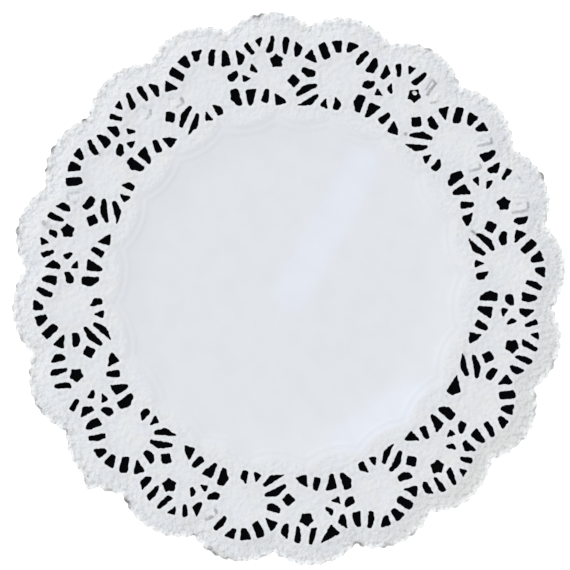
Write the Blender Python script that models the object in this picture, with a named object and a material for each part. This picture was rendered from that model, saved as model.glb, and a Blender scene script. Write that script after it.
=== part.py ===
"""A round paper lace doily, one die-cut and embossed sheet lying flat.

Twenty scallops with small teeth make the rim. Inside them runs a ring of medallions, by turns
a plain round one and one with a star, each set about with punched holes. Two scalloped lines
are raised round the plain middle. The sheet lies on z = 0 with the plain middle at the origin,
and the first round medallion is a little clockwise of +Y.
"""
import math

import bmesh
import bpy

# Driving sizes, in millimetres and degrees. Angles run clockwise from +Y, seen from above.
MM = 0.001
SPREAD = 203.2
THICKNESS = 1.0
SCALLOPS = 20
SCALLOP_STEP = 360 / SCALLOPS
SCALLOP_RADIUS = 21.8
MEDALLION_R = SPREAD / 2 - SCALLOP_RADIUS
ROUND_AT = 13.0
STAR_AT = ROUND_AT + SCALLOP_STEP
TEETH = 8
TOOTH_HEIGHT = 0.9
TOOTH_POINTS = 4
CORNER_WIDTH = 0.6

# The raised scalloped lines. Their arcs bulge towards the middle and meet in points below the
# crests of the rim, at LINE_INNER_R from the middle where they come closest to it.
LINE_INNER_R = 61.3
LINE_ARC_R = 21.6
LINE_POINTS = 4
LINE_SINK = 0.15
RAISED_LINES = {
    # distance out from the arcs, width at the foot, width on top, height above the sheet
    "line_outer": (0.9, 1.8, 0.7, 0.4),
    "line_inner": (-2.0, 1.6, 0.6, 0.25),
}

# Punched holes. Each is a wedge between an inner and an outer end, and a belly widens it
# halfway along, clockwise where it is positive. Columns: the inner end's angle, distance and
# width, the outer end's angle, distance and width, and the belly.
ROUND_HOLES = {
    # about the middle of the plain round medallion
    "shoulder": (-69.0, 9.9, 0.5, -65.0, 15.0, 4.2, 0.2),
    "bar_left": (-44.5, 8.7, 2.6, -41.5, 14.4, 3.0, 0.0),
    "top_left": (-15.5, 9.4, 1.6, -17.5, 13.8, 4.0, 0.0),
    "top_right": (4.5, 10.0, 1.4, 9.0, 13.8, 3.7, 0.0),
    "bar_right": (37.0, 8.2, 1.6, 34.0, 14.2, 1.5, -0.6),
    "side_right": (91.0, 9.0, 2.3, 86.0, 13.0, 1.5, 1.0),
    "base_right": (180.0, 6.9, 0.5, 173.0, 11.6, 2.1, -1.7),
    "base_left": (201.0, 8.7, 0.5, 195.5, 12.2, 3.0, 0.0),
    "slot_low": (219.5, 10.0, 1.2, 224.0, 18.5, 0.5, -1.6),
    "slot_high": (240.0, 8.6, 1.0, 235.5, 17.1, 1.2, 1.3),
    "side_left": (267.5, 9.2, 1.9, 270.0, 14.1, 1.9, -0.9),
}
STAR_HOLES = {
    # about the middle of the medallion with the star
    "bar_left": (-40.5, 9.8, 1.2, -38.5, 14.4, 2.1, 0.0),
    "top_left": (-21.0, 10.6, 0.5, -17.0, 13.7, 3.0, 0.0),
    "top_right": (-4.0, 7.9, 2.4, 5.5, 13.7, 1.2, 0.2),
    "bar_right": (38.0, 8.5, 1.1, 26.5, 14.0, 2.2, -0.8),
    "shoulder": (58.0, 10.5, 1.2, 47.5, 14.5, 3.3, 0.6),
    "base_right": (177.0, 7.3, 0.5, 168.0, 12.0, 4.2, -0.9),
    "base_left": (201.0, 6.3, 1.5, 199.5, 11.1, 2.5, -0.2),
    "low_chip": (259.0, 7.9, 0.5, 262.5, 11.0, 2.8, 0.0),
    "high_chip": (280.0, 5.6, 1.0, 291.0, 8.4, 2.4, 0.0),
}
BETWEEN_HOLES = {
    # either side of the bar between the two medallions, about the middle of the doily
    "high_left": (19.8, 85.0, 3.2, 20.1, 90.5, 1.2, 0.6),
    "high_right": (23.2, 84.4, 1.5, 22.9, 89.9, 0.5, 2.2),
    "low_left": (20.7, 69.6, 1.4, 20.2, 76.0, 2.6, -1.5),
    "low_right": (23.6, 69.1, 1.2, 24.6, 74.7, 4.2, 0.0),
}
SHAPED_HOLES = {
    # angle and distance from the middle of the doily, points, radius at the points and between
    "diamond": (0.8, 76.8, 4, 2.4, None),
    "star": (32.3, 84.2, 5, 2.7, 1.9),
}

# How the sheet departs from an even one, a row for each scallop and its medallion, from the
# first round one clockwise. Columns: how far they are turned, in degrees, how far the
# medallion is pushed out, and how far the rim is, in millimetres.
LIE = (
    (0.5, -0.4, 0.4), (0.6, 0.2, 0.8), (0.1, 0.2, 0.3), (0.0, 0.4, 0.4), (-0.1, 0.5, -0.1),
    (0.0, 0.0, 0.0), (-0.2, 0.2, 0.9), (-0.2, 0.5, -0.1), (-0.6, 0.2, 0.0), (-0.7, 0.2, -0.1),
    (-0.7, 0.0, 0.0), (-0.9, -0.2, 0.0), (-0.8, -0.7, 0.2), (-0.3, -0.4, 0.4), (0.2, 0.2, 0.2),
    (0.5, -0.5, 0.7), (0.8, -0.7, -0.5), (0.7, -0.4, 0.3), (0.5, 0.2, 1.1), (0.6, -0.5, 0.3),
)
REPEATS = SCALLOPS // 2
REPEAT_STEP = 2 * SCALLOP_STEP

# Holes that the punch missed, by repeat, the one hole that is open over its inner half only,
# and the pairs whose bar is torn out, so that two holes are one.
UNPUNCHED = {
    0: ("star_bar_right", "star_shoulder"),
    1: ("round_bar_right", "round_side_right", "star_top_left", "star_top_right",
        "star_bar_right"),
    5: ("between_high_left",),
    6: ("star_top_left",),
    8: ("round_shoulder", "star"),
    9: ("round_side_left",),
}
HALF_PUNCHED = {7: "star_top_right"}
TORN_BARS = {
    3: ("round_base_right", "round_base_left"),
    4: ("star_bar_left", "star_top_left"),
}

PAPER_COLOUR = (0.76, 0.80, 0.84, 1.0)
PAPER_ROUGHNESS = 0.85


def clear_scene():
    for ob in list(bpy.data.objects):
        bpy.data.objects.remove(ob, do_unlink=True)


def place(at, r, centre_at=0.0, centre_r=0.0):
    """The x and y of a polar place about a centre that is itself given in polar form."""
    turn = math.radians(centre_at)
    x = r * math.sin(math.radians(at))
    y = r * math.cos(math.radians(at)) + centre_r
    return x * math.cos(turn) + y * math.sin(turn), y * math.cos(turn) - x * math.sin(turn)


def lie_at(angle):
    """The row of LIE at an angle, eased from one scallop to the next."""
    step = (angle - ROUND_AT) / SCALLOP_STEP
    here = math.floor(step)
    part = step - here
    ease = part * part * (3 - 2 * part)
    rows = zip(LIE[here % SCALLOPS], LIE[(here + 1) % SCALLOPS])
    return [a + (b - a) * ease for a, b in rows]


def uneven(point, on_rim=False):
    """Moves a point of the even doily to where it lies on this one."""
    x, y = point
    angle = math.degrees(math.atan2(x, y))
    turn, out, rim_out = lie_at(angle)
    return place(angle + turn, math.hypot(x, y) + (rim_out if on_rim else out))


def end_points(at, r, width):
    half = math.degrees(width / 2 / r)
    return [(at - half, r), (at + half, r)] if width > CORNER_WIDTH else [(at, r)]


def wedge(columns, centre_at=0.0, centre_r=0.0):
    """One punched hole: its left side, inner end first, then its right side, outer end first."""
    inner_at, inner_r, inner_width, outer_at, outer_r, outer_width, belly = columns
    inner = end_points(inner_at, inner_r, inner_width)
    outer = end_points(outer_at, outer_r, outer_width)
    left, right = [inner[0], outer[0]], [outer[-1], inner[-1]]
    side = left if belly < 0 else right
    if belly:
        r = (inner_r + outer_r) / 2
        side.insert(1, ((side[0][0] + side[1][0]) / 2 + math.degrees(belly / r), r))
    if len(outer) == 1:
        right = right[1:]
    if len(inner) == 1:
        right = right[:-1]
    return tuple([place(at, r, centre_at, centre_r) for at, r in s] for s in (left, right))


def shaped(at, r, points, tip_r, notch_r):
    """A hole with several points, the first of them straight outwards."""
    corners = [(k, tip_r) for k in range(points)]
    if notch_r:
        corners += [(k + 0.5, notch_r) for k in range(points)]
    corners.sort()
    return [place(360 / points * k, q, at, r) for k, q in corners], []


def one_repeat():
    """The left and right sides of every hole in an even repeat, by name."""
    sides = {}
    for name, columns in ROUND_HOLES.items():
        sides["round_" + name] = wedge(columns, ROUND_AT, MEDALLION_R)
    for name, columns in STAR_HOLES.items():
        sides["star_" + name] = wedge(columns, STAR_AT, MEDALLION_R)
    for name, columns in BETWEEN_HOLES.items():
        sides["between_" + name] = wedge(columns)
    for name, columns in SHAPED_HOLES.items():
        sides[name] = shaped(*columns)
    return sides


def inner_half(columns):
    """The same hole, punched no further than halfway out."""
    inner_at, inner_r, inner_width, outer_at, outer_r, outer_width, belly = columns
    return (inner_at, inner_r, inner_width, (inner_at + outer_at) / 2, (inner_r + outer_r) / 2,
            (inner_width + outer_width) / 2, belly / 2)


def repeat_holes(repeat):
    """The outlines of one repeat's holes, with its faults and where it lies."""
    sides = one_repeat()
    half = HALF_PUNCHED.get(repeat)
    if half:
        columns = inner_half(STAR_HOLES[half.removeprefix("star_")])
        sides[half] = wedge(columns, STAR_AT, MEDALLION_R)
    for name in UNPUNCHED.get(repeat, ()):
        del sides[name]
    if repeat in TORN_BARS:
        first, second = TORN_BARS[repeat]
        sides[first] = sides[first][0], sides.pop(second)[1]
    outlines = []
    for left, right in sides.values():
        turned = []
        for x, y in left + right:
            at, r = math.degrees(math.atan2(x, y)), math.hypot(x, y)
            turned.append(uneven(place(at + repeat * REPEAT_STEP, r)))
        outlines.append(turned)
    return outlines


def rim_outline():
    """The scalloped edge, with the same number of small rounded teeth on each scallop."""
    valley = SCALLOP_STEP / 2
    reach = MEDALLION_R / SCALLOP_RADIUS * math.sin(math.radians(valley))
    half_arc = valley + math.degrees(math.asin(reach))
    steps = TEETH * TOOTH_POINTS
    outline = []
    for scallop in range(SCALLOPS):
        crest_at = ROUND_AT + scallop * SCALLOP_STEP
        for k in range(steps):
            part = (k + 0.5) / steps
            rise = abs(math.sin(math.pi * TEETH * part))
            r = SCALLOP_RADIUS - TOOTH_HEIGHT * (1 - rise)
            even = place((2 * part - 1) * half_arc, r, crest_at, MEDALLION_R)
            outline.append(uneven(even, on_rim=True))
    return outline


def line_ring(out):
    """A closed scalloped ring, a distance out from the raised lines' arcs."""
    centre_r = LINE_INNER_R + LINE_ARC_R
    arc_r = LINE_ARC_R - out
    ring = []
    for k in range(SCALLOPS * LINE_POINTS):
        along = k / LINE_POINTS * SCALLOP_STEP
        off = math.radians((along + SCALLOP_STEP / 2) % SCALLOP_STEP - SCALLOP_STEP / 2)
        across = centre_r * math.sin(off)
        r = centre_r * math.cos(off) - math.sqrt(arc_r ** 2 - across ** 2)
        ring.append(uneven(place(along + ROUND_AT - SCALLOP_STEP / 2, r)))
    return ring


def middle_of(points):
    xs, ys = [p[0] for p in points], [p[1] for p in points]
    return (min(xs) + max(xs)) / 2, (min(ys) + max(ys)) / 2


def paper():
    mat = bpy.data.materials.new("white_embossed_paper")
    mat.use_nodes = True
    shader = mat.node_tree.nodes["Principled BSDF"]
    shader.inputs["Base Color"].default_value = PAPER_COLOUR
    shader.inputs["Roughness"].default_value = PAPER_ROUGHNESS
    shader.inputs["Metallic"].default_value = 0.0
    return mat


def sheet_object(outlines, middle, collection):
    """The flat sheet: a filled curve, whose inner outlines are the holes, made a mesh."""
    curve = bpy.data.curves.new("sheet_outline", "CURVE")
    curve.dimensions = "2D"
    curve.fill_mode = "BOTH"
    curve.extrude = THICKNESS / 2 * MM
    for outline in outlines:
        spline = curve.splines.new("POLY")
        spline.points.add(len(outline) - 1)
        for point, (x, y) in zip(spline.points, outline):
            point.co = ((x - middle[0]) * MM, (y - middle[1]) * MM, 0.0, 1.0)
        spline.use_cyclic_u = True
    flat = bpy.data.objects.new("sheet_outline", curve)
    flat.location.z = THICKNESS / 2 * MM
    collection.objects.link(flat)
    bpy.context.view_layer.update()
    depsgraph = bpy.context.evaluated_depsgraph_get()
    mesh = bpy.data.meshes.new_from_object(flat.evaluated_get(depsgraph))
    bm = bmesh.new()
    bm.from_mesh(mesh)
    bmesh.ops.remove_doubles(bm, verts=bm.verts, dist=0.00001)
    bm.to_mesh(mesh)
    bm.free()
    sheet = bpy.data.objects.new("doily", mesh)
    sheet.matrix_world = flat.matrix_world
    collection.objects.link(sheet)
    bpy.data.objects.remove(flat, do_unlink=True)
    return sheet


def line_object(name, middle, collection):
    """One raised line: four scalloped rings, bridged into a closed ridge sunk in the sheet."""
    out, foot, top, height = RAISED_LINES[name]
    low, high = THICKNESS - LINE_SINK, THICKNESS + height
    flare = (foot - top) / 2 * LINE_SINK / height
    section = (
        (out - foot / 2 - flare, low), (out - top / 2, high),
        (out + top / 2, high), (out + foot / 2 + flare, low),
    )
    bm = bmesh.new()
    rings = []
    for distance, z in section:
        points = line_ring(distance)
        rings.append([bm.verts.new(((x - middle[0]) * MM, (y - middle[1]) * MM, z * MM))
                      for x, y in points])
    for ring, after in zip(rings, rings[1:] + rings[:1]):
        for k, vert in enumerate(ring):
            n = (k + 1) % len(ring)
            bm.faces.new((vert, ring[n], after[n], after[k]))
    bmesh.ops.recalc_face_normals(bm, faces=bm.faces)
    mesh = bpy.data.meshes.new(name)
    bm.to_mesh(mesh)
    bm.free()
    line = bpy.data.objects.new(name, mesh)
    line.hide_render = True
    line.display_type = "WIRE"
    collection.objects.link(line)
    return line


def main():
    clear_scene()
    scene = bpy.context.scene
    parts = bpy.data.collections.new("paper_doily")
    guides = bpy.data.collections.new("raised_line_guides")
    scene.collection.children.link(parts)
    scene.collection.children.link(guides)

    rim = rim_outline()
    middle = middle_of(rim)
    outlines = [rim]
    for repeat in range(REPEATS):
        outlines += repeat_holes(repeat)
    sheet = sheet_object(outlines, middle, parts)
    sheet.data.materials.append(paper())
    for name in RAISED_LINES:
        line = line_object(name, middle, guides)
        join = sheet.modifiers.new("raise_" + name, "BOOLEAN")
        join.operation = "UNION"
        join.solver = "EXACT"
        join.object = line


main()
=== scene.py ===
# %% [markdown]
# A paper lace doily
#
# The real thing is one sheet of bleached paper, about a tenth of a millimetre thick. A single
# stroke of a press embosses it and punches the lace out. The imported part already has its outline
# and its holes at their real size, as a plain flat slab. This file makes the paper that shows:
# a thin sheet with soft die-cut edges, raised lines, a pebbled border and a toothed rim.
#
# Places in the scene are in metres. MM turns millimetres into metres, so that the numbers below
# are the ones a maker would read off a ruler. Tables, and the heights that the press gives the
# paper, are in plain millimetres.

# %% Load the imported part
import math

import bpy
import numpy as np
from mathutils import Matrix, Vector, kdtree, noise


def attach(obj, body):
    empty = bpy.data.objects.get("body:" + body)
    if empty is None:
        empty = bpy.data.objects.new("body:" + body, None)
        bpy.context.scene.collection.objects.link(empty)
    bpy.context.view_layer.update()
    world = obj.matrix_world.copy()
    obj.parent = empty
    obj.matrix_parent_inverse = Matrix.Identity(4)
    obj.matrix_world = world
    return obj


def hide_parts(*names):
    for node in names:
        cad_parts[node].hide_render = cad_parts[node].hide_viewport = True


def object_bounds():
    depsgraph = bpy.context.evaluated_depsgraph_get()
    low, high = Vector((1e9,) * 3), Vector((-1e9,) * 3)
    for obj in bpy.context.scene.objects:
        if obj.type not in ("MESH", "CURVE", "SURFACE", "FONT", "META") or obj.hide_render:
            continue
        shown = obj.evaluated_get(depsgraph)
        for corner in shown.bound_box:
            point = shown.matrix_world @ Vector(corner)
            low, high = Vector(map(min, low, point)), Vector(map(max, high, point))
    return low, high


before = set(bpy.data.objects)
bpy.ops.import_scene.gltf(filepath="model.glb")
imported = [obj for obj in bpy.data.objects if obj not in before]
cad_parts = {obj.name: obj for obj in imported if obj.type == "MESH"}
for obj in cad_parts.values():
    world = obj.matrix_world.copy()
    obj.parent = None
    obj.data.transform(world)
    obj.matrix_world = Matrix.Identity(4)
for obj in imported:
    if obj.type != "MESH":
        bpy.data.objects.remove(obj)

MM = 0.001
cad_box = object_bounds()
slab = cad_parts["doily"]
cad_size = (cad_box[1] - cad_box[0]) / MM
print("the part is %.1f by %.1f by %.1f mm" % tuple(cad_size))

# %% [markdown]
# The camera
#
# The photograph looks straight down at the doily, so a camera with a long lens goes high above it.
# A long lens keeps the view nearly parallel, and then the cut edges aren't seen from the side. The
# doily isn't quite in the middle of the picture, and the camera stands over the point that is.

# %% Camera above the doily
PHOTO_SIDE_PX = 570
DOILY_WIDTH_PX = 555
DOILY_MIDDLE_PX = (288.4, 288.6)
SPREAD = 203.2 * MM
CAMERA_HEIGHT = 1.6

pixel = SPREAD / DOILY_WIDTH_PX
camera_data = bpy.data.cameras.new("camera")
camera_data.lens = camera_data.sensor_width * CAMERA_HEIGHT / (PHOTO_SIDE_PX * pixel)
camera = bpy.data.objects.new("camera", camera_data)
bpy.context.scene.collection.objects.link(camera)
camera.location = (
    (PHOTO_SIDE_PX / 2 - DOILY_MIDDLE_PX[0]) * pixel,
    (DOILY_MIDDLE_PX[1] - PHOTO_SIDE_PX / 2) * pixel,
    CAMERA_HEIGHT,
)
bpy.context.scene.camera = camera
print("one pixel is %.3f mm, and the lens is %.0f mm" % (pixel / MM, camera_data.lens))

# %% [markdown]
# Selecting in code
#
# Every operator works on what is selected, and loading leaves the part selected. A few helpers
# keep that under control. A rule is worked out with numpy on all points, edges or faces at once,
# in object mode, and the operator then runs in edit mode.

# %% Helpers for selecting
def only(piece):
    """Selects one piece and nothing else, and makes it the active one."""
    bpy.ops.object.select_all(action="DESELECT")
    piece.select_set(True)
    bpy.context.view_layer.objects.active = piece


def positions(mesh):
    flat = np.empty(len(mesh.vertices) * 3)
    mesh.vertices.foreach_get("co", flat)
    return flat.reshape(-1, 3)


def edge_ends(mesh):
    flat = np.empty(len(mesh.edges) * 2, dtype=np.int32)
    mesh.edges.foreach_get("vertices", flat)
    return flat.reshape(-1, 2)


def select(mesh, vertices=False, edges=False, faces=False):
    """Marks what is selected. Each of the three is a rule's result, or False for none."""
    for items, chosen in ((mesh.vertices, vertices), (mesh.edges, edges), (mesh.polygons, faces)):
        marks = np.zeros(len(items), dtype=bool)
        marks[:] = chosen
        items.foreach_set("select", marks)


def edit(mode, *steps):
    """Runs operators in edit mode, each given as its name and its settings."""
    bpy.ops.object.mode_set(mode="EDIT")
    bpy.ops.mesh.select_mode(type=mode)
    for name, settings in steps:
        getattr(bpy.ops.mesh, name)(**settings)
    bpy.ops.object.mode_set(mode="OBJECT")


# %% [markdown]
# The cut edges
#
# The paper needs the part's outline and its holes, and hardly anything else of the slab. A copy
# of the slab is merged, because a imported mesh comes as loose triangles. The tops of its raised
# lines are noted for later. Then its underside is kept, and of that only the border, which is a
# set of closed wire loops: the rim and the holes.

# %% Wire loops from the slab's underside
MERGE_DISTANCE = 0.01 * MM
LINE_TOPS = 1.1 * MM
UNDERSIDE_TOP = 0.1 * MM
FACING_DOWN = -0.9

sheet = bpy.data.objects.new("paper_sheet", slab.data.copy())
bpy.context.scene.collection.objects.link(sheet)
mesh = sheet.data
mesh.materials.clear()
only(sheet)
bpy.ops.mesh.customdata_custom_splitnormals_clear()
edit(
    "VERT",
    ("select_all", {"action": "SELECT"}),
    ("remove_doubles", {"threshold": MERGE_DISTANCE}),
)
raised = positions(mesh)
raised = raised[raised[:, 2] > LINE_TOPS]

underside = [p.normal.z < FACING_DOWN and p.center.z < UNDERSIDE_TOP for p in mesh.polygons]
select(mesh, faces=np.array(underside))
edit(
    "FACE",
    ("select_all", {"action": "INVERT"}),
    ("delete", {"type": "FACE"}),
    ("select_all", {"action": "SELECT"}),
    ("region_to_loop", {}),
    ("select_all", {"action": "INVERT"}),
    ("delete", {"type": "EDGE"}),
)
print(len(mesh.vertices), "corners in the wire loops")

# %% [markdown]
# More points on the cuts
#
# The slab's holes have straight sides and sharp corners, and a die has neither. A wire is easy to
# treat as a die treats paper. Long edges are cut in half until no edge is longer than three
# quarters of a millimetre. Smoothing along the wire rounds the corners, and a second pass
# backwards undoes what the first took from the size of the holes.

# %% Points all along the cuts
CUT_STEP = 0.75 * MM
SMOOTHING = 0.5


def edge_lengths(mesh):
    ends = positions(mesh)[edge_ends(mesh)]
    return np.linalg.norm(ends[:, 0] - ends[:, 1], axis=1)


while edge_lengths(mesh).max() > CUT_STEP:
    select(mesh, edges=edge_lengths(mesh) > CUT_STEP)
    edit("EDGE", ("subdivide", {"number_cuts": 1}))
select(mesh, vertices=True)
edit(
    "VERT",
    ("vertices_smooth", {"factor": SMOOTHING}),
    ("vertices_smooth", {"factor": -SMOOTHING}),
)
total_mm = edge_lengths(mesh).sum() / MM
print(len(mesh.vertices), "points along", round(total_mm), "mm of cut edge")

# %% [markdown]
# Loops in order
#
# The rim and each hole are needed as closed lines of points in order: the rim for its teeth, and
# the holes for their shapes. The wire is walked from point to point until it comes back.

# %% Walk the loops
def walk_loops(mesh):
    """The points of each closed loop of a wire mesh, in order, the longest loop first."""
    beside = [[] for _ in mesh.vertices]
    for a, b in edge_ends(mesh):
        beside[a].append(b)
        beside[b].append(a)
    loops, seen = [], np.zeros(len(beside), dtype=bool)
    for start in range(len(beside)):
        if seen[start]:
            continue
        loop, here = [], start
        while not seen[here]:
            seen[here] = True
            loop.append(here)
            fresh = [k for k in beside[here] if not seen[k]]
            here = fresh[0] if fresh else start
        loops.append(loop)
    return sorted(loops, key=len, reverse=True)


rim_loop, *hole_loops = walk_loops(mesh)
print(len(rim_loop), "points on the rim, and", len(hole_loops), "holes")

# %% [markdown]
# Ragged cuts
#
# The die is blunt, so the holes have rounder corners than the rim has, which shows most at the
# tips of the stars. The wire is smoothed once more there. Then some noise makes each cut its own,
# as torn fibres do, so that no two repeats look the same. From here on the places are worked out
# with numpy, and go back to the mesh when the rim and the holes are done too.

# %% Blunt holes and ragged cuts
BLUNT_TURNS = 1
RAGGED = (
    # depth mm, scale mm, seed
    (0.12, 1.7, 11),
    (0.28, 1.1, 37),
)


def noise_at(points, scale, seed):
    """A soft random number from -1 to 1 at each point, with lumps of about the scale.

    Each seed looks at another part of the same endless noise.
    """
    shift = Vector((seed, -seed, 0.5 * seed))
    return np.array([noise.noise(Vector(p) / scale + shift) for p in points])


def roughened(line, layers):
    """A line of points, each moved by layers of noise."""
    rough = line.copy()
    for depth, scale, seed in layers:
        rough[:, 0] += depth * MM * noise_at(line, scale * MM, seed)
        rough[:, 1] += depth * MM * noise_at(line, scale * MM, seed + 1)
    return rough


blunt = np.ones(len(mesh.vertices), dtype=bool)
blunt[rim_loop] = False
select(mesh, vertices=blunt)
edit("VERT", ("vertices_smooth", {"factor": SMOOTHING, "repeat": BLUNT_TURNS}))
clean_cut = positions(mesh)
cut = roughened(clean_cut, RAGGED)
torn = np.linalg.norm(cut - clean_cut, axis=1).max() / MM
print("the cuts are ragged by up to %.2f mm" % torn)

# %% [markdown]
# The worn rim
#
# The rim has been handled, so it gets shallow dents on a larger scale. At the lower left a small
# tuft of torn paper sticks out of it. The tuft could be a piece of its own, but it belongs to the
# sheet, so the nearest points of the rim are pushed outward, less and less along a bell curve.

# %% Dents and a tuft
RIM_WEAR = (
    # depth mm, scale mm, seed
    (0.30, 4.0, 41),
)
TUFT_PLACE = (-72.3 * MM, -70.0 * MM)
TUFT_PUSH = (-1.0 * MM, -3.2 * MM)
TUFT_WIDTH = 2.3 * MM


def hill(distance, width):
    """A bell curve, which is 1 where the distance is 0."""
    return np.exp(-(distance / width) ** 2)


cut[rim_loop] = roughened(cut[rim_loop], RIM_WEAR)
from_tuft = np.linalg.norm(cut[rim_loop, :2] - TUFT_PLACE, axis=1)
cut[rim_loop, :2] += np.outer(hill(from_tuft, TUFT_WIDTH), TUFT_PUSH)
rim = cut[rim_loop, :2]
print(int((from_tuft < TUFT_WIDTH).sum()), "points of the rim are drawn out into the tuft")

# %% [markdown]
# The worn holes
#
# The cut edges have worn back a little, which shows as holes that are slightly wider than the
# part's. So each hole is opened by the same small width all round: every point moves square to
# the line between its two neighbours.

# %% Open the holes
WORN_BACK = 0.15 * MM


def opened(loop, width):
    """A closed line of points, each moved outward by the width."""
    along = np.roll(loop, -1, axis=0) - np.roll(loop, 1, axis=0)
    across = np.column_stack([along[:, 1], -along[:, 0]])
    across /= np.linalg.norm(across, axis=1)[:, None]
    x, y = loop.T
    counterclockwise = np.dot(x, np.roll(y, -1)) > np.dot(y, np.roll(x, -1))
    return loop + across * (width if counterclockwise else -width)


for loop in hole_loops:
    cut[loop, :2] = opened(cut[loop, :2], WORN_BACK)
holes = [cut[loop, :2] for loop in hole_loops]
mesh.vertices.foreach_set("co", cut.ravel())
print("the cuts are now", round(edge_lengths(mesh).sum() / MM), "mm long")

# %% [markdown]
# Holes that the punch missed
#
# The lace repeats ten times round the doily, but in twelve places the die left its mark and
# didn't cut. The mark is a groove along the outline that the hole would have had, and the paper
# inside it is a little lifted on one side. Each outline is a rounded box, with its middle in
# millimetres from the middle of the doily and its length turned counterclockwise from the right.
# It is a formula rather than a modelled piece, because only the distance from it is needed later.

# %% Outlines of the missed holes
MISSED = (
    # x mm, y mm, degrees, length mm, width mm, strength
    (-52.5, 64.3, 15, 4.6, 4.5, 0.7),
    (71.5, 53.6, 14, 6.2, 2.8, 1.0),
    (83.7, 33.8, -2, 6.8, 2.2, 0.3),
    (-28.6, -82.5, 38, 5.0, 3.0, 1.0),
    (51.9, 73.5, 57, 5.8, 1.8, 1.3),
    (53.7, 69.7, 50, 4.5, 2.1, 0.8),
    (-40.7, 68.1, 15, 5.3, 3.1, 0.9),
    (-78.9, 33.3, -8, 4.9, 3.0, 0.7),
    (84.4, 39.6, 0, 1.8, 1.8, 0.5),
    (68.4, 44.3, 20, 4.5, 2.4, 1.0),
    (-81.6, -39.8, 15, 3.6, 2.1, 0.4),
    (85.1, 30.0, 10, 5.6, 3.0, 0.9),
)
OUTLINE_STEPS = 40
ROUNDNESS = 0.5


def turning(degrees):
    """The matrix that turns points in the plan counterclockwise."""
    c, s = math.cos(math.radians(degrees)), math.sin(math.radians(degrees))
    return np.array([[c, s], [-s, c]])


def rounded_box(x, y, degrees, length, width):
    """Points along a turned, rounded box, and the way that each of them faces.

    A roundness of 1 makes an ellipse, and one near 0 a box with sharp corners.
    """
    angle = np.arange(OUTLINE_STEPS) / OUTLINE_STEPS * math.tau
    c, s = np.cos(angle), np.sin(angle)
    line = np.column_stack([
        np.sign(c) * np.abs(c) ** ROUNDNESS * length / 2,
        np.sign(s) * np.abs(s) ** ROUNDNESS * width / 2,
    ])
    facing = np.column_stack([
        np.sign(c) * np.abs(c) ** (2 - ROUNDNESS) / length,
        np.sign(s) * np.abs(s) ** (2 - ROUNDNESS) / width,
    ])
    facing /= np.linalg.norm(facing, axis=1)[:, None]
    return (line @ turning(degrees) + (x, y)) * MM, facing @ turning(degrees)


boxes = [rounded_box(*row[:5]) for row in MISSED]
missed = np.vstack([line for line, facing in boxes])
missed_facing = np.vstack([facing for line, facing in boxes])
missed_strength = np.repeat([row[5] for row in MISSED], OUTLINE_STEPS)
print(len(boxes), "places that the punch missed")

# %% [markdown]
# The raised lines
#
# The slab carries two raised scalloped lines as sharp ridges. Only the points of their flat tops
# were noted, and the outer line's are higher than 1.3 mm. Each pair of points lies either side of
# the crest. Between the slab's few points the crest follows an arc that bulges towards the middle.

# %% Crest of each raised line
LINE_ARC_R = 21.6 * MM
CREST_STEPS = 12
OUTER_TOPS = 1.3 * MM


def crest_of(tops):
    """Points along a line's crest, clockwise, from the points of its flat top."""
    tops = tops[np.argsort(np.arctan2(tops[:, 0], tops[:, 1]))]
    here = tops[:, :2].reshape(-1, 2, 2).mean(axis=1)
    after = np.roll(here, -1, axis=0)
    chord = np.linalg.norm(after - here, axis=1)
    points = []
    for part in np.arange(CREST_STEPS) / CREST_STEPS:
        straight = here + (after - here) * part
        bulge = chord ** 2 / (2 * LINE_ARC_R) * part * (1 - part)
        away = np.linalg.norm(straight, axis=1)
        points.append(straight * (1 - bulge / away)[:, None])
    return np.stack(points, axis=1).reshape(-1, 2)


outer_line = crest_of(raised[raised[:, 2] > OUTER_TOPS])
inner_line = crest_of(raised[raised[:, 2] < OUTER_TOPS])
print(len(outer_line), "points on the outer crest, and", len(inner_line), "on the inner one")
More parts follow.
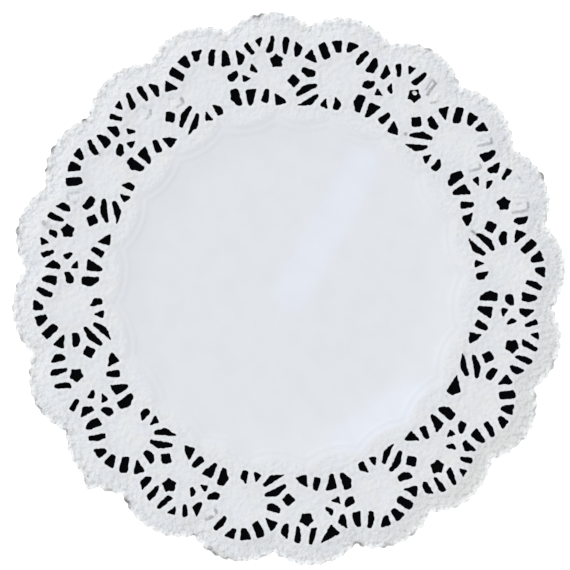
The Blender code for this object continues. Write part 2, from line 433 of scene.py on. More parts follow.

# %% [markdown]
# Painted shadows and dark marks
#
# Painted shadow lies along the cracks and lifted edges of the missed holes, and a few small dark
# specks lie elsewhere. Each is a short stroke from one point to another, in millimetres from the
# middle of the doily. A rim mark is a dark mark along the rim, at so many degrees clockwise from
# the top. They are listed here because the sheet needs small triangles where they are.

# %% Painted shadows, specks and rim marks
# Strokes of painted shadow along the missed holes' cracks and lifted edges, and a few dark specks.
PAINTED_SHADE_AND_SPECKS = (
    # from x and y mm, to x and y mm, radius mm, strength
    (-50.5, 65.2, -50.4, 63.9, 0.4, 0.8), (-51.2, 63.6, -51.7, 62.1, 0.3, 0.5),
    (-53.0, 66.2, -52.1, 65.6, 0.3, 0.4), (74.1, 54.9, 74.2, 53.3, 0.4, 0.9),
    (69.4, 52.3, 73.8, 53.2, 0.3, 0.8), (70.1, 54.2, 71.3, 54.4, 0.3, 0.3),
    (82.8, 35.1, 86.6, 34.9, 0.2, 0.2), (83.1, 33.4, 86.4, 33.4, 0.2, 0.2),
    (-26.7, -80.9, -26.3, -81.8, 0.5, 0.9), (-30.0, -84.4, -28.0, -83.4, 0.5, 0.9),
    (-30.5, -82.6, -30.2, -83.6, 0.2, 0.3), (50.4, 72.8, 52.5, 76.1, 0.3, 0.8),
    (50.9, 70.9, 51.2, 71.6, 0.5, 1.0), (51.5, 72.2, 53.8, 75.0, 0.4, 1.0),
    (52.8, 76.4, 53.8, 74.9, 0.4, 0.9), (52.3, 67.9, 53.5, 68.1, 0.4, 0.7),
    (53.5, 68.1, 55.3, 68.7, 0.2, 0.5), (-39.1, 69.6, -38.7, 68.3, 0.5, 1.0),
    (-38.8, 67.8, -40.7, 66.4, 0.3, 0.5), (-43.7, 69.3, -42.2, 69.7, 0.3, 0.3),
    (-80.9, 33.9, -80.4, 32.8, 0.4, 0.5), (-80.6, 34.7, -76.5, 35.3, 0.3, 0.5),
    (-78.1, 31.6, -77.8, 31.2, 0.4, 0.5), (84.3, 40.6, 84.7, 40.3, 0.4, 0.8),
    (85.3, 39.2, 85.6, 38.6, 0.3, 0.3), (70.1, 45.3, 70.3, 44.3, 0.4, 0.8),
    (66.6, 43.1, 69.9, 43.9, 0.4, 0.8), (-84.2, -38.6, -83.3, -38.8, 0.3, 0.2),
    (-83.0, -41.0, -81.8, -40.5, 0.3, 0.3), (87.6, 31.3, 87.7, 29.8, 0.4, 0.9),
    (82.2, 27.8, 83.4, 28.2, 0.4, 0.7), (84.0, 28.0, 87.2, 28.6, 0.4, 0.8),
    (83.7, 30.8, 85.1, 31.2, 0.3, 0.4), (42.8, 56.6, 42.9, 56.5, 0.5, 1.0),
    (67.2, 21.1, 68.4, 19.9, 0.4, 1.0), (-89.6, 24.4, -89.3, 23.6, 0.5, 0.9),
    (-88.8, 23.4, -87.3, 22.6, 0.9, 0.4), (-69.6, 49.5, -69.1, 49.0, 0.4, 0.9),
    (66.3, 18.3, 66.3, 18.1, 0.4, 0.4), (64.4, -24.4, 64.4, -23.4, 0.4, 0.4),
    (-73.5, -68.6, -73.4, -68.7, 0.3, 0.9), (-74.8, -66.0, -74.7, -66.1, 0.3, 0.4),
    (-74.4, -71.0, -71.0, -71.1, 0.5, 0.3),
)
RIM_MARKS = (
    # degrees clockwise, length mm, strength
    (30.4, 2.4, 0.7), (38.5, 2.4, 0.4), (66.0, 3.2, 0.9), (74.4, 2.0, 0.4), (93.9, 1.8, 0.6),
    (106.3, 3.6, 0.5), (113.4, 2.6, 0.5), (116.0, 2.2, 0.5), (123.0, 1.5, 0.6), (142.7, 1.5, 0.4),
    (152.9, 2.2, 0.4), (159.0, 3.6, 0.6), (165.0, 3.6, 0.8), (171.9, 1.2, 0.4), (181.9, 1.8, 0.4),
    (185.5, 1.8, 0.5), (192.8, 5.5, 0.5), (196.3, 4.5, 0.8), (201.0, 1.5, 0.8), (217.3, 3.7, 1.0),
    (221.6, 3.5, 0.5), (226.9, 1.5, 0.7), (237.4, 2.2, 0.7), (244.3, 2.6, 0.8), (246.6, 2.4, 0.4),
    (252.1, 1.8, 0.7), (259.6, 3.6, 0.5), (270.7, 1.8, 0.4), (278.2, 1.5, 0.7), (281.7, 4.5, 0.7),
    (283.9, 2.2, 0.4), (296.4, 2.2, 0.7), (298.1, 2.5, 0.4), (300.5, 3.3, 0.8), (309.9, 2.2, 0.9),
    (311.5, 1.2, 0.6), (353.6, 3.6, 0.8), (358.3, 1.5, 0.4),
)


def rim_point(degrees):
    """The rim's point at so many degrees clockwise from the top."""
    ray = np.array([math.sin(math.radians(degrees)), math.cos(math.radians(degrees))])
    return rim[np.argmax(rim @ ray / np.hypot(*rim.T))]


strokes = np.array([row[:4] for row in PAINTED_SHADE_AND_SPECKS]) * MM
stroke_places = np.vstack([strokes[:, :2], strokes[:, :2] / 2 + strokes[:, 2:] / 2, strokes[:, 2:]])
mark_places = np.array([rim_point(row[0]) for row in RIM_MARKS])
print(len(strokes), "stains and", len(mark_places), "rim marks")

# %% [markdown]
# How far from a detail
#
# Nearly all that follows depends on how far a place is from a cut, a raised line or a stain. It
# is slow to measure from each place to all the points of such a detail. A tree sorts the points
# once, and then finds the one that is nearest to a place in a few steps.

# %% Find the nearest point
def tree_of(*lines):
    points = np.vstack(lines)
    tree = kdtree.KDTree(len(points))
    for k, (x, y) in enumerate(points):
        tree.insert((x, y, 0.0), k)
    tree.balance()
    return tree


def nearest(tree, places):
    """The distance from each place to the tree's nearest point, and that point's number."""
    found = [tree.find((x, y, 0.0))[1:] for x, y, *_ in places]
    numbers, distances = zip(*found)
    return np.array(distances), np.array(numbers)


cut_tree = tree_of(rim, *holes)
to_lace, _ = nearest(cut_tree, [(0.0, 0.0)])
print("the nearest cut is %.1f mm from the middle" % (to_lace[0] / MM))

# %% [markdown]
# Filling the loops
#
# The fill operator spans the wire with long thin triangles. They are made even the way a hand
# does it: pick the edges that are too long, cut them in half, let Blender swap edges for better
# triangles, and repeat. The paper needs small triangles where it is pressed or cut, and may have
# large ones on the plain middle, so the longest edge allowed grows with the distance from the
# nearest detail. At the detail itself it is half a millimetre for the stains and the missed holes,
# and more for the raised lines and the cuts.

# %% Even triangles, small near every detail
EDGE_FINE = 0.5 * MM
EDGE_LINE = 0.8 * MM
EDGE_NEAR = 1.4 * MM
EDGE_FAR = 5.0 * MM
EDGE_GROWTH = 0.9
DETAIL_WIDTH = 0.5 * MM
MOST_TURNS = 12


def allowed(places, tree, shortest):
    """The longest edge allowed at each place, by its distance from the nearest detail."""
    distance, _ = nearest(tree, places)
    return shortest + EDGE_GROWTH * np.maximum(distance - DETAIL_WIDTH, 0.0)


def too_long(mesh):
    """A rule for each edge: whether it is longer than its place allows."""
    lengths = edge_lengths(mesh)
    chosen = lengths > EDGE_FINE
    middles = positions(mesh)[edge_ends(mesh)[chosen]].mean(axis=1)
    limit = np.full(len(middles), EDGE_FAR)
    for tree, shortest in details:
        limit = np.minimum(limit, allowed(middles, tree, shortest))
    chosen[chosen] = lengths[chosen] > limit
    return chosen


details = (
    (cut_tree, EDGE_NEAR),
    (tree_of(outer_line, inner_line), EDGE_LINE),
    (tree_of(stroke_places, mark_places, missed), EDGE_FINE),
)
edit("EDGE", ("select_all", {"action": "SELECT"}), ("fill", {"use_beauty": True}))
for _ in range(MOST_TURNS):
    chosen = too_long(mesh)
    if not chosen.any():
        break
    select(mesh, edges=chosen)
    edit(
        "EDGE",
        ("subdivide", {"number_cuts": 1}),
        ("select_all", {"action": "SELECT"}),
        ("quads_convert_to_tris", {}),
        ("beautify_fill", {}),
    )
print(len(mesh.polygons), "triangles in the sheet")

# %% [markdown]
# Evening out the triangles
#
# All normals should point up, because the sheet gets its thickness along them. The points away
# from the cuts are then drawn towards the middle of their neighbours, which evens out the
# triangles, so that the relief won't show their pattern. Where that turns a triangle over, its
# corners go back to where they were.

# %% Relax the inner points
ON_A_CUT = 0.01 * MM
RELAX_TURNS = 3


def corners_of(mesh):
    """The three corners of each triangle."""
    flat = np.empty(len(mesh.polygons) * 3, dtype=np.int32)
    mesh.polygons.foreach_get("vertices", flat)
    return flat.reshape(-1, 3)


def face_down(places, corners):
    """A rule for each triangle: whether it faces down."""
    a, b, c = (places[corners[:, k], :2] for k in range(3))
    return np.cross(b - a, c - a) <= 0


edit("FACE", ("select_all", {"action": "SELECT"}), ("normals_make_consistent", {"inside": False}))
if face_down(positions(mesh), corners_of(mesh)).mean() > 0.5:
    edit("FACE", ("select_all", {"action": "SELECT"}), ("flip_normals", {}))
before = positions(mesh)
from_cut, _ = nearest(cut_tree, before)
select(mesh, vertices=from_cut > ON_A_CUT)
edit("VERT", ("vertices_smooth", {"factor": SMOOTHING, "repeat": RELAX_TURNS}))
relaxed, corners = positions(mesh), corners_of(mesh)
while face_down(relaxed, corners).any():
    again = corners[face_down(relaxed, corners)].ravel()
    relaxed[again] = before[again]
mesh.vertices.foreach_set("co", relaxed.ravel())
mesh.update()
print("the lowest normal's height is %.3f" % min(p.normal.z for p in mesh.polygons))

# %% [markdown]
# The press: broad shape
#
# The press leaves the paper shallowly dished. It rises from the plain middle towards the raised
# lines, and a little more outside the holes. Then it falls to the rim, which it rests on. This
# could be sculpted, or left to a displacement picture. Here each point gets a height in
# millimetres, added up from what the press does at that place, because then every step is a
# number that can be measured and changed. The first rise goes by the distance from the middle,
# and the other two slopes go by the distance inward from the rim, which counts below zero.

# %% Rise to the border and fall to the rim
MIDDLE_RISE = {"height": 0.75, "start": 48.5, "end": 63.5}
BORDER_RISE = {"height": 0.25, "start": -16.5, "end": -11.5}
RIM_FALL = {"height": 1.25, "start": -9.3, "end": -0.8}


def slope_of(values, shape):
    """From 0 to the shape's height, smoothly, as the values go from its start to its end."""
    part = np.clip((values - shape["start"]) / (shape["end"] - shape["start"]), 0, 1)
    return shape["height"] * part * part * (3 - 2 * part)


points = positions(mesh)
radius = np.hypot(points[:, 0], points[:, 1]) / MM
from_rim, rim_number = nearest(tree_of(rim), points)
from_rim = from_rim / MM
rim_fall = slope_of(-from_rim, RIM_FALL)
height = slope_of(radius, MIDDLE_RISE) + slope_of(-from_rim, BORDER_RISE) - rim_fall
print("from its highest to its lowest place the sheet falls %.2f mm" % np.ptp(height))

# %% [markdown]
# The press: raised lines and cut edges
#
# The two scalloped lines are steps rather than ridges: they are steep on the side of the middle,
# and run out slowly on the other. A bell curve with one width inward and another outward draws
# that. Every cut edge is bent down a little too, by the push of the punch.

# %% Raise the lines and bend the cuts
OUTER_LINE = {"height": 0.30, "inward": 0.9, "outward": 9.0, "shift": -0.5}
INNER_LINE = {"height": 0.17, "inward": 0.8, "outward": 1.4, "shift": 0.1}
CUT_BEND = {"depth": 0.05, "width": 0.45}


def past_line(places, line):
    """How far each place is outside a raised line, in mm, and below zero on the inner side."""
    distance, numbers = nearest(tree_of(line), places)
    outside = np.hypot(*places[:, :2].T) > np.hypot(*line[numbers].T)
    return np.where(outside, distance, -distance) / MM


past_outer = past_line(points, outer_line)
past_inner = past_line(points, inner_line)
for past, shape in ((past_outer, OUTER_LINE), (past_inner, INNER_LINE)):
    past = past - shape["shift"]
    width = np.where(past > 0, shape["outward"], shape["inward"])
    height += shape["height"] * hill(past, width)
from_cut, _ = nearest(cut_tree, points)
from_cut = from_cut / MM
height -= CUT_BEND["depth"] * hill(from_cut, CUT_BEND["width"])
print("with its raised lines it falls %.2f mm" % np.ptp(height))

# %% [markdown]
# The press: missed holes
#
# A missed hole leaves a groove along its outline. Inside the groove the paper has lifted, but only
# on the lower right side of each hole, where the light catches it in the photograph.

# %% Press the missed holes
GROOVE = {"depth": 0.10, "width": 0.35}
LIFTED_LIP = {"height": 0.20, "width": 0.45, "inside": 0.55, "side": -35}

from_missed, missed_number = nearest(tree_of(missed), points)
from_missed, pressed = from_missed / MM, missed_strength[missed_number]
faces = missed_facing[missed_number]
across = np.sum((points[:, :2] - missed[missed_number]) * faces, axis=1)
past_missed = np.sign(across) * from_missed
side = math.radians(LIFTED_LIP["side"])
lifted = np.clip(faces @ (math.cos(side), math.sin(side)), 0, 1)
lip = hill(past_missed + LIFTED_LIP["inside"], LIFTED_LIP["width"])
height -= GROOVE["depth"] * pressed * hill(from_missed, GROOVE["width"])
height += LIFTED_LIP["height"] * pressed * lifted * lip
print(int((from_missed < GROOVE["width"]).sum()), "points lie in a groove")

# %% [markdown]
# The press: toothed rim
#
# The rim's teeth run inward as shallow ribs, with finer reeding between them. The ribs can't be
# counted off evenly, because the rim is uneven. So a tooth is found by how far the rim stands out
# past its own running mean, taken over the length of one tooth.

# %% Ribs and reeds at the rim
TOOTH_PITCH = 4.3 * MM
TOOTH_REACH = 0.45 * MM
RIB = {"height": 0.08, "fade": 2.6}
REED = {"height": 0.045, "fade": 4.5, "pitch": 2.0}


def tooth_height(rim):
    """How far each rim point stands out past the rim's running mean, from -1 to 1."""
    radius = np.hypot(*rim.T)
    step = np.linalg.norm(rim - np.roll(rim, -1, axis=0), axis=1).mean()
    span = round(TOOTH_PITCH / step)
    window = np.ones(span) / span
    wrapped = np.concatenate([radius[-span:], radius, radius[:span]])
    running = np.convolve(wrapped, window, mode="same")[span:-span]
    return np.clip((radius - running) / TOOTH_REACH, -1, 1)


def reed_height(rim):
    """A wave along the rim, from -1 to 1, with a whole number of reeds right round."""
    steps = np.linalg.norm(np.roll(rim, -1, axis=0) - rim, axis=1)
    way = np.cumsum(steps) / steps.sum()
    return np.cos(math.tau * way * round(steps.sum() / MM / REED["pitch"]))


tooth = tooth_height(rim)
height += RIB["height"] * tooth[rim_number] * np.exp(-from_rim / RIB["fade"])
height += REED["height"] * reed_height(rim)[rim_number] * hill(from_rim, REED["fade"])
starts = np.diff(np.sign(tooth)) > 0
print("about", int(starts.sum()), "ribs start at the rim")

# %% [markdown]
# The press: the paper itself
#
# In the border the press has left the paper pebbled. The whole sheet also has a very slight wave,
# which fades out at the rim, because that lies on the table. Both are noise, as on the cuts. Last,
# the lowest point goes to z = 0, and the points take their heights.

# %% Pebble and wave, and the finished heights
PEBBLE = {"height": 0.05, "scale": 2.4, "seed": 5}
WAVE = {"height": 0.08, "scale": 30.0, "seed": 31}
BORDER_BLEND = 2.0

border = np.clip(past_outer / BORDER_BLEND + 0.5, 0, 1)
free = 1 - rim_fall / RIM_FALL["height"]
for part, shape in ((border, PEBBLE), (free, WAVE)):
    height += shape["height"] * part * noise_at(points, shape["scale"] * MM, shape["seed"])
height -= height.min()
points[:, 2] = height * MM
mesh.vertices.foreach_set("co", points.ravel())
print("the embossing is %.2f mm deep" % height.max())

# %% [markdown]
# Painted shadows and marks on the points
#
# The painted shadows and dark marks could be small dark pieces laid on the sheet, but they have no
# thickness and no edge. So every point gets a number, from 0 where the paper is plain to 1 where
# it is darkest, which the material reads later. A stroke is equally dark all along, and fades past
# its radius. A rim mark fades along the rim and inward, like half an ellipse. Where two overlap,
# the darker one counts.

# %% Paint the shadows and marks on the points
SHADE_STROKE_FADE = 0.25
SHADE_STROKE_WEIGHT = 0.6
RIM_MARK_DEPTH = 1.0
RIM_MARK_REACH = 1.8


def from_stroke(places, start, end):
    """How far each place is from a straight stroke, in mm."""
    along = end - start
    part = np.clip((places - start) @ along / (along @ along), 0, 1)
    return np.linalg.norm(places - start - part[:, None] * along, axis=1) / MM


plan = points[:, :2]
painted_shade_and_marks = np.zeros(len(points))
for (x1, y1, x2, y2), (*_, size, strength) in zip(strokes, PAINTED_SHADE_AND_SPECKS):
    away = from_stroke(plan, np.array((x1, y1)), np.array((x2, y2)))
    fading = np.clip(1 - (away - size) / SHADE_STROKE_FADE, 0, 1)
    painted_shade_and_marks = np.maximum(painted_shade_and_marks, SHADE_STROKE_WEIGHT * strength * fading)
for place, (_, length, strength) in zip(mark_places, RIM_MARKS):
    away = np.linalg.norm(plan - place, axis=1) / MM / (length / 2)
    away = np.hypot(away, from_rim / RIM_MARK_DEPTH)
    painted_shade_and_marks = np.maximum(painted_shade_and_marks, strength * np.clip(RIM_MARK_REACH - away, 0, 1))
# It counts the points with painted shadow and those with a dark mark.
print("%.1f percent of the points are darkened" % (100 * np.mean(painted_shade_and_marks > 0)))

# %% [markdown]
# What else the paper's material needs to know
#
# The finish changes from place to place. The plain middle has two pale, bluish streaks of painted
# light. The border has painted highlights along the cuts and the rim, and is warmer at the lower
# right. It is pebbled most at the rim, less on the bars between the holes and least inside the
# medallions. With the painted shadows and dark marks, all of this is kept as numbers on the
# points, so that the material can read it. The warm side is a direction, in degrees clockwise from
# the top.
# How far a point is from a cut or from the rim is kept up to 4 mm, because no colour changes
# beyond that.

# %% Numbers for the material
# Two streaks of painted pale light on the plain middle.
PAINTED_LIGHT_STREAKS = (
    # from x and y mm, to x and y mm
    (1.7, -1.2, 26.9, 45.2),
    (23.3, -54.7, 46.3, -40.8),
)
WARM_SIDE = 125
PEBBLED_INSIDE = 0.25
PEBBLED_BARS = {"more": 0.12, "width": 2.0}
PEBBLED_RIM = {"more": 0.70, "width": 5.0}
FARTHEST_KEPT = 4.0


def keep_numbers(mesh, name, values):
    attribute = mesh.attributes.new(name, "FLOAT", "POINT")
    attribute.data.foreach_set("value", values.astype(np.float32))


streaks = np.array(PAINTED_LIGHT_STREAKS) * MM
from_painted_light = np.min([from_stroke(plan, row[:2], row[2:]) for row in streaks], axis=0)
warm_way = (math.sin(math.radians(WARM_SIDE)), math.cos(math.radians(WARM_SIDE)))
pebbled = PEBBLED_INSIDE + PEBBLED_BARS["more"] * hill(from_cut, PEBBLED_BARS["width"])
pebbled += PEBBLED_RIM["more"] * hill(from_rim, PEBBLED_RIM["width"])
kept = {
    "painted_shade_and_marks": painted_shade_and_marks,
    "border": border,
    "pebbled": border * pebbled,
    "to_warm_side": plan @ warm_way / (SPREAD / 2),
    "from_cut_mm": np.minimum(from_cut, FARTHEST_KEPT),
    "from_rim_mm": np.minimum(from_rim, FARTHEST_KEPT),
    "from_painted_light_mm": from_painted_light,
}
for name, values in kept.items():
    keep_numbers(mesh, name, values)
print("each point keeps", len(kept), "numbers")

# %% [markdown]
# Thickness
#
# A single layer of faces has no edge to catch the light, so the paper gets its thickness from a
# solidify modifier, which also closes all the cuts with one setting. It is thickened upward from
# its underside, so that its lowest point stays at z = 0. It is drawn twice as thick as real paper,
# because a tenth of a millimetre would be too fine to show from the side.

# %% Give the sheet its thickness
PAPER_THICKNESS = 0.2 * MM
SHARP_ANGLE = 50


def thicken(piece, thickness):
    """Thickens a layer of faces upward, and shades it smooth except at its cut edges."""
    only(piece)
    solidify = piece.modifiers.new("thickness", "SOLIDIFY")
    solidify.thickness = thickness
    solidify.offset = 1
    bpy.ops.object.modifier_apply(modifier=solidify.name)
    bpy.ops.object.shade_smooth_by_angle(angle=math.radians(SHARP_ANGLE))


thicken(sheet, PAPER_THICKNESS)
tall = positions(mesh)[:, 2] / MM
print(len(mesh.polygons), "faces, from %.2f to %.2f mm high" % (tall.min(), tall.max()))

# %% [markdown]
# The scrap
#
# One punched scrap still hangs in its hole, from the edge nearest the rim. It is a small curled
# piece of the same paper, whose upper end lies under the sheet. It could be cut out of the sheet,
# but a small grid is easier to round off and to curl, by a formula on its own points. They go from
# -0.5 to 0.5 both ways before that. It is drawn no thicker than the real paper.

# %% A scrap left in a hole
SCRAP_PLACE = (46.2 * MM, 71.6 * MM, 0.12 * MM)
SCRAP_SIZE = (1.9 * MM, 1.5 * MM)
SCRAP_SQUARES = 8
SCRAP_ROUNDING = 0.9
SCRAP_CURL = 0.22 * MM
SCRAP_LEAN = -35

bpy.ops.object.select_all(action="DESELECT")
bpy.ops.mesh.primitive_grid_add(
    x_subdivisions=SCRAP_SQUARES, y_subdivisions=SCRAP_SQUARES, size=1.0,
)
scrap = bpy.context.object
scrap.name = scrap.data.name = "paper_scrap"
grid = positions(scrap.data)
across, along = grid[:, 0].copy(), grid[:, 1].copy()
round_off = 1 - SCRAP_ROUNDING * np.abs(across * along)
grid[:, 0] = across * round_off * SCRAP_SIZE[0]
grid[:, 1] = along * round_off * SCRAP_SIZE[1]
grid[:, 2] = SCRAP_CURL * (2 * across) ** 2
grid[:, :2] = grid[:, :2] @ turning(SCRAP_LEAN)
grid += SCRAP_PLACE
scrap.data.vertices.foreach_set("co", grid.ravel())
thicken(scrap, PAPER_THICKNESS / 2)
print("the scrap is %.1f by %.1f mm" % tuple(scrap.dimensions[k] / MM for k in (0, 1)))

# %% [markdown]
# The paper
#
# Uncoated bleached paper is almost white, matt and faintly blue. Its surface is a felt of fibres,
# which scatters light evenly and gives almost no highlight, so it is rough and its specular level
# is low. The colours are written as on a screen, and one function turns them into the linear
# values that the shader works with. Another adds a node with its settings and links.

# %% Helpers for materials
PAPER_WHITE = "dde1e6"
PAPER_ROUGHNESS = 0.9
PAPER_SPECULAR = 0.25


def linear(colour):
    """A screen colour such as "ffffff" as linear red, green, blue and alpha.

    The numbers are those of the sRGB standard.
    """
    parts = [int(colour[k:k + 2], 16) / 255 for k in (0, 2, 4)]
    return [p / 12.92 if p <= 0.04045 else ((p + 0.055) / 1.055) ** 2.4 for p in parts] + [1.0]


def new_material(name, colour, roughness, specular):
    material = bpy.data.materials.new(name)
    material.use_nodes = True
    shader = material.node_tree.nodes["Principled BSDF"]
    shader.inputs["Base Color"].default_value = linear(colour)
    shader.inputs["Roughness"].default_value = roughness
    shader.inputs["Specular IOR Level"].default_value = specular
    return material, material.node_tree, shader


def add_node(tree, kind, settings=None, output=0, **inputs):
    """Adds a node and gives one of its outputs.

    An input is named as in Blender, or by i and its number. Its value is a plain one, or another
    node's output to be linked.
    """
    node = tree.nodes.new("ShaderNode" + kind)
    for name, value in (settings or {}).items():
        setattr(node, name, value)
    for name, value in inputs.items():
        socket = node.inputs[int(name[1:])] if name[1:].isdigit() else node.inputs[name]
        if isinstance(value, bpy.types.NodeSocket):
            tree.links.new(value, socket)
        else:
            socket.default_value = value
    return node.outputs[output]


print("bleached paper reflects %.2f of the light" % linear(PAPER_WHITE)[1])

# %% [markdown]
# What the paper's colours follow
#
# Some layers of colour follow the numbers kept on the points, and others follow noise in the
# object's own space, so that the pattern stays on the paper. Each noise has the size of what it
# stands for. A single fibre is about 0.02 mm thick, which is too fine to show, so the felt is
# drawn as flocks of 0.35 to 0.7 mm.

# %% Numbers and grains
GRAINS = {
    # size mm, detail
    "warm patches": (7.0, 2.0),
    "clouds": (9.0, 2.0),
    "lumps": (1.9, 1.0),
    "pits": (1.3, 1.0),
    # Blotches in the painted shadows and dark marks.
    "shade_and_mark_blotches": (1.0, 3.0),
    "fibres": (0.7, 3.0),
    "felt": (0.35, 3.0),
}

paper, tree, shader = new_material(
    "bleached_paper_embossed", PAPER_WHITE, PAPER_ROUGHNESS, PAPER_SPECULAR,
)
known = {}
for name in kept:
    known[name] = add_node(tree, "Attribute", {"attribute_name": name}, "Fac")
place = add_node(tree, "TexCoord", None, "Object")
for name, (size, detail) in GRAINS.items():
    scale = {"Scale": 1 / (size * MM), "Detail": detail}
    known[name] = add_node(tree, "TexNoise", None, "Fac", Vector=place, **scale)
print(len(known), "numbers and grains to follow")

# %% [markdown]
# Layers of colour
#
# The colour is built up like a painter's glazes, from the painted pale light of the streaks to the
# painted shadows and dark marks. A painted picture could hold it all, but layers stay sharp at any
# distance, and each is changed by a single number. A layer follows a number or a grain: its share
# goes smoothly from one value to the other between the two ends. Some layers are only in the
# border, in its pebble or in the painted shadows and marks, so their share is multiplied by that
# number.
# Each cut has a thin line of painted shade, then a painted highlight, then a faint painted shade.
# The rim has a painted highlight, and the pits of the pebble have painted shade.

# %% Glazes of the paper
# The pale bluish colour of the painted light in the streaks.
PAINTED_PALE_LIGHT = "dce0e9"
PAPER_MIDDLE = "dadde2"
PAPER_BORDER = "dce0e5"
PAPER_WARM = "e0e0df"
PAPER_BEIGE = "dddcda"
# The colour of the painted highlight along the cut edges.
PAINTED_CUT_HIGHLIGHT = "e2e5e8"
# The colour of the painted highlight along the rim.
PAINTED_RIM_HIGHLIGHT = "eef0f1"
GREY = "6a6b6d"
LAYERS = (
    # name, colour, follows, from, to, share at each end, only in
    ("plain middle", PAPER_MIDDLE, "from_painted_light_mm", 2.0, 10.5, 0.0, 1.0, None),
    ("border", PAPER_BORDER, "border", 0.0, 1.0, 0.0, 1.0, None),
    ("warm patches", PAPER_WARM, "warm patches", 0.4, 0.65, 0.0, 0.5, "border"),
    ("warm side", PAPER_BEIGE, "to_warm_side", 0.58, 1.02, 0.0, 0.6, "border"),
    ("shade round cuts", GREY, "from_cut_mm", 1.2, 3.2, 0.04, 0.0, None),
    # A painted highlight along every cut edge.
    ("painted highlight on cut edges", PAINTED_CUT_HIGHLIGHT, "from_cut_mm", 0.5, 1.2, 0.9, 0.0, None),
    # A thin line of painted shade right at every cut edge.
    ("painted shade on cut edges", GREY, "from_cut_mm", 0.0, 0.45, 0.2, 0.0, None),
    # This layer is a painted highlight along the rim.
    ("worn rim", PAINTED_RIM_HIGHLIGHT, "from_rim_mm", 0.4, 2.2, 1.0, 0.0, None),
    # Painted shade in the pits of the pebble.
    ("painted shade in pebble pits", GREY, "pits", 0.5, 0.75, 0.0, 0.16, "pebbled"),
    ("fibres", GREY, "fibres", 0.3, 0.7, 0.0, 0.01, None),
    ("fibres in the border", GREY, "fibres", 0.3, 0.7, 0.0, 0.03, "border"),
    ("fibres of the pebble", GREY, "fibres", 0.3, 0.7, 0.0, 0.06, "pebbled"),
    ("clouds", GREY, "clouds", 0.35, 0.7, 0.0, 0.025, None),
    # Painted shadow of the cracks, with the dark specks and rim marks, in blotchy grey.
    ("shade_and_mark_blotches", GREY, "shade_and_mark_blotches", 0.25, 0.55, 0.5, 1.0, "painted_shade_and_marks"),
)

# The glazes start from the painted pale light of the streaks.
colour = linear(PAINTED_PALE_LIGHT)
for name, glaze, follows, low, high, share_low, share_high, only_in in LAYERS:
    share = add_node(
        tree, "MapRange", {"interpolation_type": "SMOOTHSTEP"},
        i0=known[follows], i1=low, i2=high, i3=share_low, i4=share_high,
    )
    if only_in:
        share = add_node(tree, "Math", {"operation": "MULTIPLY"}, i0=share, i1=known[only_in])
    glazed = {"data_type": "RGBA", "label": name}
    colour = add_node(tree, "Mix", glazed, 2, i0=share, i6=colour, i7=linear(glaze))
tree.links.new(colour, shader.inputs["Base Color"])
print(len(LAYERS), "layers of colour")

# %% [markdown]
# Relief of the paper
#
# The mesh holds the pebble's broad lumps, but its triangles are too large for the small ones. More
# triangles would slow everything down, so a bump shades the small lumps instead. A second, much
# finer bump over the first is the felt, which takes away what is left of a smooth, plastic look.

# %% Lumps and felt
LUMP_HEIGHT = 1.3 * MM
FELT_HEIGHT = 0.03 * MM
FELT_STRENGTH = 0.4

lumps = add_node(
    tree, "Math", {"operation": "MULTIPLY"}, i0=known["pebbled"], i1=known["lumps"],
)
lumpy = add_node(tree, "Bump", None, Strength=1.0, Distance=LUMP_HEIGHT, Height=lumps)
felted = add_node(
    tree, "Bump", None,
    Strength=FELT_STRENGTH, Distance=FELT_HEIGHT, Height=known["felt"], Normal=lumpy,
)
tree.links.new(felted, shader.inputs["Normal"])
for piece in (sheet, scrap):
    piece.data.materials.clear()
    piece.data.materials.append(paper)
print("the paper's material has", len(tree.nodes), "nodes")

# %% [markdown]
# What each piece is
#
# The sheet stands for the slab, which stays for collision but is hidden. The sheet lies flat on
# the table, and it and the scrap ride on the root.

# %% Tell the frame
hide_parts("doily")
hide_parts("doily")
for piece in (sheet, scrap):
    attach(piece, "root")
print("the sheet and the scrap ride on the root")

# %% [markdown]
# The table
#
# In the photograph the background is pure white, and every hole is black. So the doily lies on a
# white table with a black card under its lace. The card ends inside the rim and doesn't show
# past it. The table glows a little, as a light box does, which keeps the rim's shadow off it.
# Neither is part of the object.

# %% White table and black card
TABLE_SIZE = 8.0
TABLE_TOP = -0.04 * MM
TABLE_WHITE = "fafafa"
TABLE_GLOW = 0.3
CARD_R = 96.5 * MM
CARD_CORNERS = 128
CARD_TOP = -0.02 * MM
CARD_BLACK = "0a0b0d"

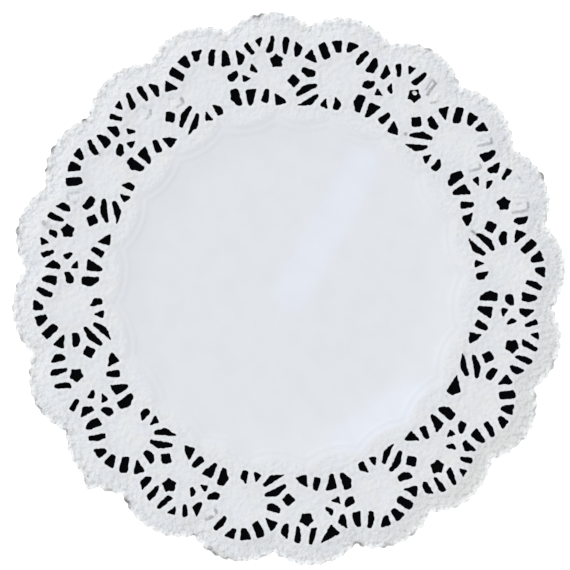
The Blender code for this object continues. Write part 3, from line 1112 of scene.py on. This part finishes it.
bpy.ops.object.select_all(action="DESELECT")
bpy.ops.mesh.primitive_plane_add(size=TABLE_SIZE, location=(0, 0, TABLE_TOP))
table = bpy.context.object
bpy.ops.mesh.primitive_circle_add(
    vertices=CARD_CORNERS, radius=CARD_R, fill_type="NGON", location=(0, 0, CARD_TOP),
)
card = bpy.context.object
for item, name, colour, glow in (
    (table, "white_table", TABLE_WHITE, TABLE_GLOW),
    (card, "black_card", CARD_BLACK, 0.0),
):
    item.name = name
    finish, _, surface = new_material(name, colour, roughness=1.0, specular=0.0)
    surface.inputs["Emission Color"].default_value = linear(colour)
    surface.inputs["Emission Strength"].default_value = glow
    item.data.materials.append(finish)
print("the card ends %.1f mm inside the rim" % ((SPREAD / 2 - CARD_R) / MM))

# %% [markdown]
# Light
#
# The light is soft and comes from all round, but more of it from the upper left, as in a white
# room with a window there. The room is brightest in that direction and gets darker away from it.
# A weak lamp adds to it. With the table's own glow they are just strong enough to turn the table
# pure white, and the relief shows as faint shading.

# %% Light the scene
WINDOW_TURN = 53
WINDOW_ELEVATION = 30
ROOM_BRIGHT = 1.5
ROOM_DARK = 0.1
LAMP_STRENGTH = 0.35
LAMP_WIDTH = 20


def direction(turn, elevation):
    """A direction at so many degrees from the top of the picture towards its left, and upward."""
    turn, elevation = math.radians(turn), math.radians(elevation)
    flat = math.cos(elevation)
    return (-flat * math.sin(turn), flat * math.cos(turn), math.sin(elevation))


window = direction(WINDOW_TURN, WINDOW_ELEVATION)
world = bpy.data.worlds.new("white_room_with_window")
bpy.context.scene.world = world
world.use_nodes = True
room = world.node_tree
looking = add_node(room, "TexCoord", None, "Generated")
facing = add_node(
    room, "VectorMath", {"operation": "DOT_PRODUCT"}, "Value", i0=looking, i1=window,
)
brightness = add_node(
    room, "MapRange", None, i0=facing, i1=-1.0, i2=1.0, i3=ROOM_DARK, i4=ROOM_BRIGHT,
)
background = room.nodes["Background"]
background.inputs["Color"].default_value = (1, 1, 1, 1)
room.links.new(brightness, background.inputs["Strength"])
lamp_data = bpy.data.lights.new("wide_lamp", "SUN")
lamp_data.energy = LAMP_STRENGTH
lamp_data.angle = math.radians(LAMP_WIDTH)
lamp = bpy.data.objects.new("wide_lamp", lamp_data)
bpy.context.scene.collection.objects.link(lamp)
lamp.rotation_euler = Vector(window).to_track_quat("Z", "Y").to_euler()
bpy.context.scene.view_settings.view_transform = "Standard"
bpy.context.scene.view_settings.look = "None"
print("the window lies %d degrees up, and %d left of the top" % (WINDOW_ELEVATION, WINDOW_TURN))
